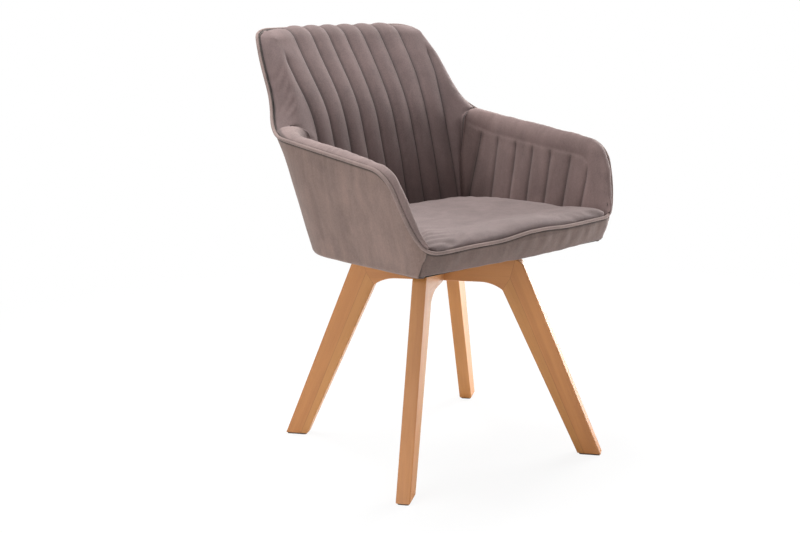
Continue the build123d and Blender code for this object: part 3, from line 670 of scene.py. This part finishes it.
cloth_nap, ends, result = new_group(
    "Brushed cloth",
    [("Position", "Vector", None), ("Colour", "Color", (0.2, 0.15, 0.135, 1)), ("Streak", "Float", 1.0),
     ("Seam shade", "Float", 0.0)],
    [("Color", "Color"), ("Height", "Float")],
)
position = ends.outputs["Position"]
streaks = cloud(cloth_nap, position, (46, 46, 5), 4, 0.62, 0.3)
mottle = cloud(cloth_nap, position, (15, 15, 11), 4, 0.6, 0.6)
speckle = cloud(cloth_nap, position, (420, 420, 300), 2, 0.6)
nap = cloud(cloth_nap, position, (1500, 1500, 900), 2, 0.6)
tone = 1.0
for patches, depth in ((streaks, 0.55), (mottle, 0.75), (speckle, 0.5), (nap, 0.4)):
    swing = times(cloth_nap, less(cloth_nap, patches, 0.5), depth)
    if patches is streaks:
        swing = times(cloth_nap, swing, ends.outputs["Streak"])
    tone = sum_of(cloth_nap, swing, tone)
kept = less(cloth_nap, 1.0, times(cloth_nap, ends.outputs["Seam shade"], 0.8))
tone = times(cloth_nap, tone, kept)
shaded = add_node(cloth_nap, "VectorMath", operation="SCALE")
join(cloth_nap, ends.outputs["Colour"], shaded.inputs[0])
join(cloth_nap, tone, shaded.inputs["Scale"])
fuzz = sum_of(cloth_nap, times(cloth_nap, speckle, 0.6), nap)
give(cloth_nap, result, Color=shaded.outputs[0], Height=fuzz)


def cloth(name, streak, colour, shade=None):
    """Brushed microfibre; shade gives it painted shade along its seams, and on the left arm also a painted
    highlight along the roll.
    """
    sheen = {"sheen_weight": 0.12, "sheen_roughness": 0.45, "sheen_tint": (1, 0.9, 0.86, 1)}
    made, tree, shader, position = new_material(name, 0.86, **sheen)
    values = {"Position": position, "Colour": colour, "Streak": streak}
    if shade:
        chart = add_node(tree, "UVMap", uv_map="cloth")
        apart = add_node(tree, "SeparateXYZ")
        join(tree, chart.outputs[0], apart.inputs[0])
        values["Seam_shade"] = shade(tree, apart.outputs["X"], apart.outputs["Y"])
    dress(tree, shader, place_group(tree, cloth_nap, **values), 0.35, 0.0005)
    return made


def fit_to_seat(made, material, thickness=0.0, offset=-1):
    """Gives a piece its material and its wall, and lets it turn with the seat."""
    made.data.materials.append(material)
    if thickness:
        wall = made.modifiers.new("cloth_thickness", "SOLIDIFY")
        wall.thickness = thickness
        wall.offset = offset
    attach(made, "seat")


def hem_turn(v):
    """The cloth's turn under the hem at v from 0 to 1: height above the hem and how far it stands out."""
    return tucked * (1 - sqrt(max(0, 1 - v**2))), -0.012 * (1 - v) ** 1.2 - 0.003 * (1 - v)


def cover_place(u, v):
    """u runs from the left corner seam round the back to the right, v from under the hem to the piping."""
    side = 1 if u > 0.5 else -1
    share = min(1, abs(u - 0.5) * 2)
    top = cover_top(share)
    x, y = cover_plan(0.43, share)[:2]
    hem = hem_height(x * side, y)
    turn_share, wall_share, edge_strip = 0.06, 0.86, 0.010
    if v < turn_share:
        lift, out = hem_turn(v / turn_share)
        z = hem + lift
    else:
        rise, low = (v - turn_share) / (1 - turn_share), hem + tucked
        if rise < wall_share:
            z = low + (top - edge_strip - low) * rise / wall_share
        else:
            z = top - edge_strip * (1 - rise) / (1 - wall_share)
        out = -0.0034 * max(0, 1 - (top - z) / 0.0045) ** 1.6
    x, y, nx, ny = cover_plan(z, share)
    x *= side
    drift = 0.0018 * noise.noise(Vector((x * 9, y * 9, z * 5)))
    drift += 0.0010 * noise.noise(Vector((x * 30, y * 30, z * 12)))
    drift += 0.0016 * max(0, 1 - (z - hem_z) / 0.05) * noise.noise(Vector((x * 30, y * 30, 2)))
    drift += 0.0009 * max(0, 1 - (top - z) / 0.03) * noise.noise(Vector((share * 260 * side, 4, 1)))
    out += drift * min(1, (top - z) / 0.012)
    raw_x, raw_y = cover_plan(top, share)[:2]
    sewn = between(rim_runs[side], share * side_steps) - Vector((side * raw_x, raw_y, top))
    sewn = sewn * smooth(z, top - 0.055, top)
    return (x + side * nx * out + sewn.x, y + ny * out + sewn.y, z + sewn.z), side * share, top - z


def rim_groove_shade(tree, across, along):
    """Painted shade beside the piping, and a faint line of painted shade where the corner seam lies."""
    groove = ramp(tree, along, 0.0036, 0.0082, 1.05, 0.0)
    corner = ramp(tree, away_from(tree, across), 0.9965, 0.9995, 0.0, 0.9)
    return larger(tree, groove, corner)


outer = grid_mesh("outer_cover_cloth", 280, 76, cover_place)
fit_to_seat(outer, cloth("cloth_outer", 1.25, (0.194, 0.132, 0.112), rim_groove_shade), 0.0025)
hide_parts("outer_cover")


# ------------------------------------------------------------------ front border
# A narrow strip of the same cloth across the front under the cushion, sewn to
# the outer cover at a seam on each front corner, drawn as a line of painted shade.
def border_place(u, v):
    """u runs from the left corner seam to the right one, v from under the hem up to the piping."""
    share = max(-1, min(1, 2 * u - 1))
    top = welt_height(front_half * share)
    hem = hem_height(*border_plan(0.43, share))
    turn_share = 0.12
    if v < turn_share:
        lift, out = hem_turn(v / turn_share)
        z = hem + lift
    else:
        rise = (v - turn_share) / (1 - turn_share)
        z = hem + tucked + (top - hem - tucked) * rise
        belly = 0.0030 + 0.0035 * noise.noise(Vector((share * 9, z * 14, 7)))
        belly += 0.0006 * noise.noise(Vector((share * 22, z * 30, 3)))
        out = belly * sin(pi * rise) - 0.0036 * max(0, 1 - (top - z) / 0.005) ** 1.6
    x, y = border_plan(z, share, out)
    rim = rim_runs[1 if share > 0 else -1]
    index = side_steps + front_steps * (1 - abs(share))
    sewn = between(rim, index) - Vector((*border_plan(top, share), top))
    sewn = sewn * smooth(z, hem + 0.004, top)
    return (x + sewn.x, y + sewn.y, z + sewn.z), share, top - z


border = grid_mesh("front_border_cloth", 160, 34, border_place)
# The border's cloth has a darker colour than the outer cover's: painted shade for its place under the
# cushion's front edge.
fit_to_seat(border, cloth("cloth_border", 0.7, (0.118, 0.079, 0.068), rim_groove_shade), 0.0025)
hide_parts("front_border")


# ------------------------------------------------------------------ arm pads
# Foam wrapped round each arm of the former and covered on its inner face and
# top; channel seams are stitched through the inner face, below the arm top.
arm_seams = (0.120, 0.079, 0.026, -0.022, -0.071, -0.122, -0.171)


def inner_x(y, z):
    """Where the arm pad's inner face lies: opening a little forwards, rounding in towards the back."""
    b, r = back_at(z) - 0.034, 0.085
    w = 0.222 + 0.176 * (z - hem_z) - 0.03 * y + 0.009 * smooth(-y, 0.04, 0.17)
    if y < b - r:
        return w
    return w - r + sqrt(max(0, r**2 - (y - b + r) ** 2))


def along_points(points, share):
    """The point at a share of a run of points, by length."""
    steps = [(b - a).length for a, b in zip(points, points[1:])]
    goal = share * sum(steps)
    for a, b, step in zip(points, points[1:], steps):
        if goal <= step:
            return a.lerp(b, goal / step)
        goal -= step
    return points[-1].copy()


def evened(points, count, passes):
    """The same line as points at even distances, with its sharp turns eased."""
    line = [along_points(points, i / (count - 1)) for i in range(count)]
    for i in range(passes):
        line = [line[0]] + [(a + 2 * b + c) / 4 for a, b, c in zip(line, line[1:], line[2:])] + [line[-1]]
    return line


def low_seam_at(z):
    """The seam between arm pad and back pad, below the arm top."""
    forward = smooth(z, 0.45, 0.665)
    return Vector((0.183 + 0.026 * forward, 0.137 + 0.006 * forward, z))


rim_line = rim_runs[1][: side_steps + 1]
seam_index = max(i for i, p in enumerate(rim_line) if p.y > 0.160 and p.x > 0.2)
arm_line = evened(list(reversed(rim_line[seam_index:])), 300, 2)
back_line = evened(rim_line[: seam_index + 1], 300, 2)
seat_line = 0.452                       # how far down the pads go, under the cushion's edge
arm_front, arm_rear = -0.2295, 0.137    # ends of the inner face at that height
low_seam = [low_seam_at(z) for z in (0.65, 0.60, 0.55, 0.50, seat_line)]
top_seam = [
    back_line[-1] - Vector((0.003, 0, 0.001)), Vector((0.265, 0.156, 0.669)), Vector((0.246, 0.152, 0.670)),
    Vector((0.227, 0.1475, 0.6665)), Vector((0.2135, 0.1445, 0.6595)),
]
pad_seam = evened(top_seam + low_seam, 120, 5)
seam_shoulder = min(range(120), key=lambda i: abs(pad_seam[i].z - 0.652) + (i < 20))


def arm_place(u, v, side):
    """u runs from the arm's front to its back, v from the piped rim over the top and down the inner face."""
    last = len(arm_line) - 1
    i = u * last
    here = between(arm_line, i)
    run = arm_line[min(last, int(i) + 4)] - arm_line[max(0, int(i) - 4)]
    normal = Vector((0, -run.z, run.y)).normalized()
    roll_share, low = 0.36, 0.030
    deep = here - normal * low
    joining = smooth(u, 0.86, 1.0)
    if v < roll_share:
        over = v / roll_share
        a = pi * over
        outer_x, inner = here.x - 0.0028, inner_x(min(deep.y, 0.143), deep.z)
        middle, half = (outer_x + inner) / 2, (outer_x - inner) / 2
        swing = cos(a)
        x = middle + half * (swing**0.86 if swing > 0 else swing)
        crown = 0.0064 + 0.0010 * smooth(here.y, -0.17, -0.05)
        start = -0.0036 if swing > 0 else -low
        h = start + (crown - start) * max(0, sin(a)) ** (0.8 if swing > 0 else 1)
        h += 0.0016 * sin(a) * noise.noise(Vector((x * 40, here.y * 26, here.z * 40)))
        h += 0.0012 * sin(a) * noise.noise(Vector((x * 20, here.y * 90, 9)))
        spot = Vector((x, here.y, here.z)) + normal * h
        along = -0.05 * (1 - over)
        goal = seam_shoulder * over
        lift = Vector((-0.35, -0.5, 0.8)) * 0.0018 * sin(pi * joining)
    else:
        down = (v - roll_share) / (1 - roll_share)
        foot_y = arm_front + (arm_rear - arm_front) * u**0.92
        y, z = min(deep.y + (foot_y - deep.y) * down, 0.145), deep.z + (seat_line - deep.z) * down
        spot = Vector((inner_x(y, z), y, z))
        along = (deep.z - z) + 0.008
        goal = seam_shoulder + (len(pad_seam) - 1 - seam_shoulder) * down
        lift = Vector((-1, -0.3, 0)) * 0.003 * sin(pi * joining)
    spot = spot.lerp(between(pad_seam, goal), joining) + lift
    across = spot.y - 0.09 * smooth(-spot.y, 0.05, 0.17) * (0.60 - spot.z)
    if v > roll_share:
        away = min(abs(across - place) for place in arm_seams)
        swell = 0.0012 - 0.0042 * exp(-((away / 0.0065) ** 1.4)) * smooth(along, 0.004, 0.030)
        swell += 0.0011 * noise.noise(Vector((across * 30, spot.z * 16, 3)))
        swell *= (1 - smooth(u, 0.96, 1.0)) * smooth(along, 0.0, 0.015)
        turn = smooth(spot.y, 0.05, 0.143)
        spot += Vector((-(1 - 0.3 * turn), -0.5 * turn, 0)) * swell
    across = across + 0.08 * smooth(u, 0.975, 1.0)
    return (side * spot.x, spot.y, spot.z), across, along


def arm_seam_shade(tree, across, along):
    """Painted shade in the creases along the channel seams, broken by small stitches, and painted shade
    where the pad meets back and piping.
    """
    beat = sum_of(tree, sum_of(tree, along, 0.0042, "DIVIDE"), 1.0, "MODULO")
    beat = ramp(tree, away_from(tree, beat, 0.5), 0.14, 0.2, 0.45, 1.0)
    total = None
    for place in arm_seams:
        away = away_from(tree, across, place)
        line = times(tree, ramp(tree, away, 0.0004, 0.0016, 0.95, 0.0), beat)
        line = larger(tree, line, ramp(tree, away, 0.0, 0.008, 0.42, 0.0))
        total = line if total is None else larger(tree, total, line)
    total = times(tree, total, ramp(tree, along, 0.004, 0.020))
    total = larger(tree, total, ramp(tree, across, 0.19, 0.215, 0.0, 0.9))
    return larger(tree, total, ramp(tree, along, -0.046, -0.041, 0.9, 0.0))


def left_arm_shade_and_highlight(tree, across, along):
    """The same painted seam shade, with a painted highlight along this arm's roll that makes it paler."""
    roll = ramp(tree, along, -0.006, -0.024, 0.0, 0.44)
    return less(tree, arm_seam_shade(tree, across, along), roll)


arm_cloths = {
    "right": (1, cloth("cloth_arm_right", 0.8, (0.158, 0.106, 0.099), arm_seam_shade)),
    # The left arm's cloth is a little greyer than the right's: a painted sheen.
    "left": (-1, cloth("cloth_arm_left", 0.8, (0.150, 0.107, 0.100), left_arm_shade_and_highlight)),
}
for name, (side, arm_cloth) in arm_cloths.items():
    pad = grid_mesh(f"arm_pad_{name}_cloth", 200, 84, lambda u, v: arm_place(u, v, side))
    fit_to_seat(pad, arm_cloth, 0.002, side)
    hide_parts(f"arm_pad_{name}")


# ------------------------------------------------------------------ back pad
# Foam over the inside of the back, its cover stitched through in ten upright
# channels that run over the top edge to the piping.
def face_y(x, z):
    """The back pad's face between its channel crests."""
    return back_at(z) - 0.045 - (1.0 - sqrt(1.0 - x * x))


def channel_x(c, z):
    """Where the channel coordinate c lies across the back at height z; seams are at whole numbers."""
    width = 0.0437 + 0.0020 * smooth(z, 0.70, 0.80)
    return c * width + 0.008 * smooth(z, 0.66, 0.76) * smooth(abs(c), 2, 4)


back_foot, face_top = 0.455, 0.830      # lower and upper end of the upright face
arm_top, nape_top = 0.628, 0.690        # between them the pad's side follows the seam over the arm
fold = 0.82                             # the share of v that the upright face takes up
corner_index = max(i for i, p in enumerate(back_line) if p.z > 0.846)
side_rim = list(reversed(back_line[corner_index:]))
top_rim = back_line[: corner_index + 1]
side_up = list(reversed(pad_seam))
side_low = [p for p in side_up if p.z < 0.640 and p.y < 0.1445]
side_nape = [side_low[-1]] + side_up[len(side_low) :]
fourth = min(range(len(top_rim)), key=lambda i: abs(top_rim[i].x - channel_x(4, crown_z)))


def side_edge(z, over):
    """The back pad's side boundary for the row that leaves the outermost seam at height z."""
    if z < arm_top:
        return along_points(side_low, (z - back_foot) / (arm_top - back_foot))
    if z < nape_top:
        return along_points(side_nape, (z - arm_top) / (nape_top - arm_top))
    return along_points(side_rim, 0.94 * (z - nape_top) / (face_top - nape_top) + 0.06 * over)


def back_place(u, v):
    """u runs across the back, v from the seat up the face and over the top to the piping."""
    c = (u - 0.5) * 10
    side = 1 if c > 0 else -1
    k = abs(c)
    over = max(0, (v - fold) / (1 - fold))
    z = back_foot + (face_top - back_foot) * min(1, v / fold)
    fade = 1 - smooth(z, 0.785, 0.815) if k > 3 else 1.0
    wave = abs(sin(pi * k)) ** 0.68
    if k > 3:
        wave = wave * fade + (1 - fade) * max(0, sin(pi * (k - 3) / 2)) ** 0.6
    swell = 0.0068 * wave * (1 - 0.7 * smooth(z, 0.79, 0.83) * smooth(k, 3.2, 4.2))
    inner = min(k, 4)
    x = channel_x(inner, z)
    here = Vector((x, face_y(x, z), z))
    lean = (back_at(z + 0.002) - back_at(z - 0.002)) / 0.004
    facing = Vector((0, -1, lean)).normalized()
    if over > 0:
        rim_x = channel_x(inner, crown_z)
        rear_y = back_at(crown_z) - back_bow + sqrt(back_bow**2 - rim_x**2)
        rear = Vector((rim_x, rear_y - 0.0035, crown_z - 0.0035))
        top = 0.861 - 0.014 * smooth(k, 2.6, 4.0)
        crest = Vector((rim_x, here.y + lean * (top - here.z), top))
        one, two = here.lerp(crest, over), crest.lerp(rear, over)
        facing = Vector((0, one.z - two.z, two.y - one.y)).normalized()
        here = one.lerp(two, over)
    push = facing * swell * (1 - smooth(over, 0.8, 1))
    if k > 4:
        s = k - 4
        edge = side_edge(z, over)
        if z > nape_top:
            edge = edge - Vector((0.0028, 0.0012, 0.0014))
        x, zz = here.x + (edge.x - here.x) * s, here.z + (edge.z - here.z) * s
        ease = 0.6 * s**2.4 + 0.4 * (1 - sqrt(1 - s**3))
        base_y = here.y if over > 0 else face_y(x, zz)
        here = Vector((x, base_y * (1 - ease) + edge.y * ease, zz))
        if over > 0:
            along_top = rear.lerp(side_rim[-1], s)
            along_top.y = rear.y * (1 - ease) + side_rim[-1].y * ease
            here += (along_points(top_rim[fourth:], s) - along_top) * over**2
        tuck = smooth(s, 0.25, 0.6) * smooth(z, 0.695, 0.72) * (1 - smooth(z, 0.775, 0.805))
        tuck *= sin((z + 0.05 * s) * 330 + 4 * noise.noise(Vector((z * 20, s * 3, side))))
        push = push * (1 - s**6) + Vector((0, -0.0010 if side < 0 else -0.0005, 0)) * tuck
    here = here + push
    here += Vector((0, -0.0008, 0)) * noise.noise(Vector((side * here.x * 30, 5, here.z * 14)))
    return (side * here.x, here.y, here.z), c, z + 0.05 * over


def back_seam_shade(tree, across, along):
    """Painted shade in the creases where the channels are stitched, fading near the top of the outermost
    ones, and along the pad's side and top edges by the piping.
    """
    beside = away_from(tree, across)
    near = away_from(tree, sum_of(tree, sum_of(tree, beside, 0.5), 1.0, "MODULO"), 0.5)
    crease, valley = ramp(tree, near, 0.0, 0.045, 0.85, 0.0), ramp(tree, near, 0.0, 0.16, 0.3, 0.0)
    line = larger(tree, crease, valley)
    within = ramp(tree, beside, 4.2, 4.6, 1.0, 0.0)
    outermost = times(tree, ramp(tree, beside, 3.4, 3.6), ramp(tree, along, 0.78, 0.815))
    line = times(tree, times(tree, line, within), less(tree, 1.0, outermost))
    line = larger(tree, line, ramp(tree, beside, 4.97, 4.992, 0.0, 0.85))
    return larger(tree, line, ramp(tree, along, 0.8835, 0.888, 0.0, 0.9))


back = grid_mesh("back_pad_cloth", 200, 130, back_place)
# The back's cloth has a darker colour than the outer cover's: painted shade for the inside of the bucket.
fit_to_seat(back, cloth("cloth_back", 0.8, (0.132, 0.089, 0.085), back_seam_shade), 0.002)
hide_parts("back_pad")


# ------------------------------------------------------------------ seat cushion
# A fixed foam cushion on the board, its cover drawn tight over a soft crown and
# tucked down between the pads.
bm = bmesh.new()
bm.from_mesh(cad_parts["seat_cushion"].data)
bmesh.ops.remove_doubles(bm, verts=bm.verts, dist=0.00005)
cushion = piece_from(bm, "seat_cushion_cloth")


def inflated(piece, held, pressure, most):
    """Remeshes and swells a piece; held says which points stay, most is how far one may move."""
    remesh = piece.modifiers.new("remesh", "REMESH")
    remesh.mode, remesh.voxel_size = "VOXEL", 0.005
    even = bpy.data.meshes.new_from_object(piece.evaluated_get(bpy.context.evaluated_depsgraph_get()))
    piece.modifiers.clear()
    piece.data = even
    start = [v.co.copy() for v in piece.data.vertices]
    pin = piece.vertex_groups.new(name="held")
    pin.add([i for i, p in enumerate(start) if held(p)], 1.0, "REPLACE")
    soft = piece.modifiers.new("cloth", "CLOTH")
    soft.settings.quality = 5
    soft.settings.mass = 0.25
    soft.settings.tension_stiffness = soft.settings.compression_stiffness = 12
    soft.settings.shear_stiffness = 5
    soft.settings.bending_stiffness = 1.5
    soft.settings.vertex_group_mass = "held"
    soft.settings.use_pressure = True
    soft.settings.uniform_pressure_force = pressure
    soft.settings.effector_weights.gravity = 0
    soft.point_cache.frame_end = 20
    for frame_number in range(1, 21):
        scene.frame_set(frame_number)
    moved = piece.evaluated_get(bpy.context.evaluated_depsgraph_get()).data
    goals = [v.co.copy() for v in moved.vertices]
    piece.modifiers.clear()
    scene.frame_set(1)
    for v, old, new in zip(piece.data.vertices, start, goals):
        step = new - old
        v.co = old + step * (most / step.length if step.length > most else 1)
    for face in piece.data.polygons:
        face.use_smooth = True


inflated(cushion, lambda p: p.z < 0.468, 4.0, 0.0055)
for v in cushion.data.vertices:
    p = v.co.copy()
    side = 1 if p.x > 0 else -1
    upper = smooth(p.z, 0.464, 0.477)
    front_corner = smooth(abs(p.x), 0.15, 0.215) * smooth(-p.y, 0.15, 0.225)
    rear_corner = smooth(abs(p.x), 0.11, 0.18) * smooth(p.y, 0.04, 0.12)
    drawn_back = 0.0115 * smooth(-p.y, 0.12, 0.21) + 0.002 * front_corner
    filled_out = 0.006 * smooth(p.y, 0.06, 0.14) + 0.010 * rear_corner
    rim_share = smooth(max(abs(p.x) - 0.13, (-p.y - 0.15) * 1.2, 0), 0, 0.06)
    lift = 0.0045 * rim_share * smooth(p.z, 0.470, 0.480) * smooth(-p.y, -0.04, 0.12)
    dent = 0.0012 * noise.noise(p * 14) + 0.0007 * noise.noise(p * 40)
    folds = smooth(-p.x, 0.13, 0.20) * smooth(-p.y, 0.13, 0.19)
    dent += 0.0013 * folds * sin((p.x * 0.35 + p.y) * 330 + 3 * noise.noise(p * 18))
    wave = welt_height(p.x) - 0.478
    v.co.x = p.x * (1 + 0.03 * upper) + side * upper * (0.007 * front_corner + 0.010 * rear_corner)
    v.co.y = p.y + upper * (filled_out - drawn_back)
    v.co.z += (lift + dent) * smooth(p.z, 0.468, 0.478) + wave * smooth(-p.y, 0.16, 0.23)
cushion.modifiers.new("softened", "SUBSURF").levels = 1
cushion.modifiers["softened"].render_levels = 1
fit_to_seat(cushion, cloth("cloth_cushion", 0.5, (0.168, 0.126, 0.121)))
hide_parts("seat_cushion")


# ------------------------------------------------------------------ piping
# A cord covered in the same cloth, sewn in along the whole rim: round the back's
# edge, over the arms, down their fronts and across above the border.
cord_radius, cord_out = 0.0034, 0.0016
welt_line = evened(rim_runs[1] + list(reversed(rim_runs[-1]))[1:], 1100, 0)[:-1]
count = len(welt_line)


def welt_place(u, v):
    """u runs round the cord, v along it from the back's middle by way of the right arm."""
    i = round(v * count) % count
    here, ahead, behind = welt_line[i], welt_line[(i + 1) % count], welt_line[i - 1]
    run = (ahead - behind).normalized()
    out = Vector((here.x, here.y * 0.8, 0)).normalized()
    out = (out - run * out.dot(run)).normalized()
    a = 2 * pi * u
    spot = here + out * cord_out + (out * cos(a) + run.cross(out) * sin(a)) * cord_radius
    return spot, u, v * 4.2


welt = grid_mesh("rim_piping", 12, count, welt_place, closed=True)
# The piping's cloth has a lighter colour than the outer cover's: a painted sheen.
fit_to_seat(welt, cloth("cloth_piping", 0.3, (0.215, 0.155, 0.14)))
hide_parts("rim_welt", "front_welt")


# ------------------------------------------------------------------ dust cover
# Thin black felt under the board, stapled round its edge and open in the middle
# for the swivel plate.
felt_front, felt_depth, felt_half, felt_z = -0.212, 0.365, 0.234, 0.4268
rear_corner_radius, plate_half = 0.105, 0.089
bm = bmesh.new()
bmesh.ops.create_grid(bm, x_segments=53, y_segments=42, size=0.5)
for v in bm.verts:
    y = felt_front + felt_depth * (v.co.y + 0.5)
    rounded = rear_corner_radius - sqrt(rear_corner_radius**2 - max(0, y - 0.050) ** 2)
    v.co = (v.co.x * 2 * (felt_half - rounded), y, felt_z)
middles = [(f, f.calc_center_median()) for f in bm.faces]
opening = [f for f, middle in middles if max(abs(middle.x), abs(middle.y)) < plate_half]
bmesh.ops.delete(bm, geom=opening, context="FACES")
cut = sum(f.calc_area() for f in bm.faces)
felt_sheet = piece_from(bm, "dust_cover_felt")
felt = felted("dust_felt", 600, (0.012, 0.012, 0.012), (0.035, 0.034, 0.033), 0.0004)
fit_to_seat(felt_sheet, felt, 0.0008)
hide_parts("dust_cover")

staple = Matrix.Diagonal((0.010, 0.0009, 0.0006, 1))
along_front = [(-0.19 + 0.038 * i, -0.206, 0) for i in range(11)]
along_sides = [(0.228 * side, -0.17 + 0.042 * i, pi / 2) for side in (-1, 1) for i in range(6)]
bm = bmesh.new()
for x, y, turn in along_front + along_sides:
    place = Matrix.Translation((x, y, 0.4258)) @ Matrix.Rotation(turn, 4, "Z") @ staple
    bmesh.ops.create_cube(bm, size=1, matrix=place)
staples = piece_from(bm, "dust_cover_staples")
fit_to_seat(staples, metal("staple_steel", (0.55, 0.55, 0.56), 0.3))
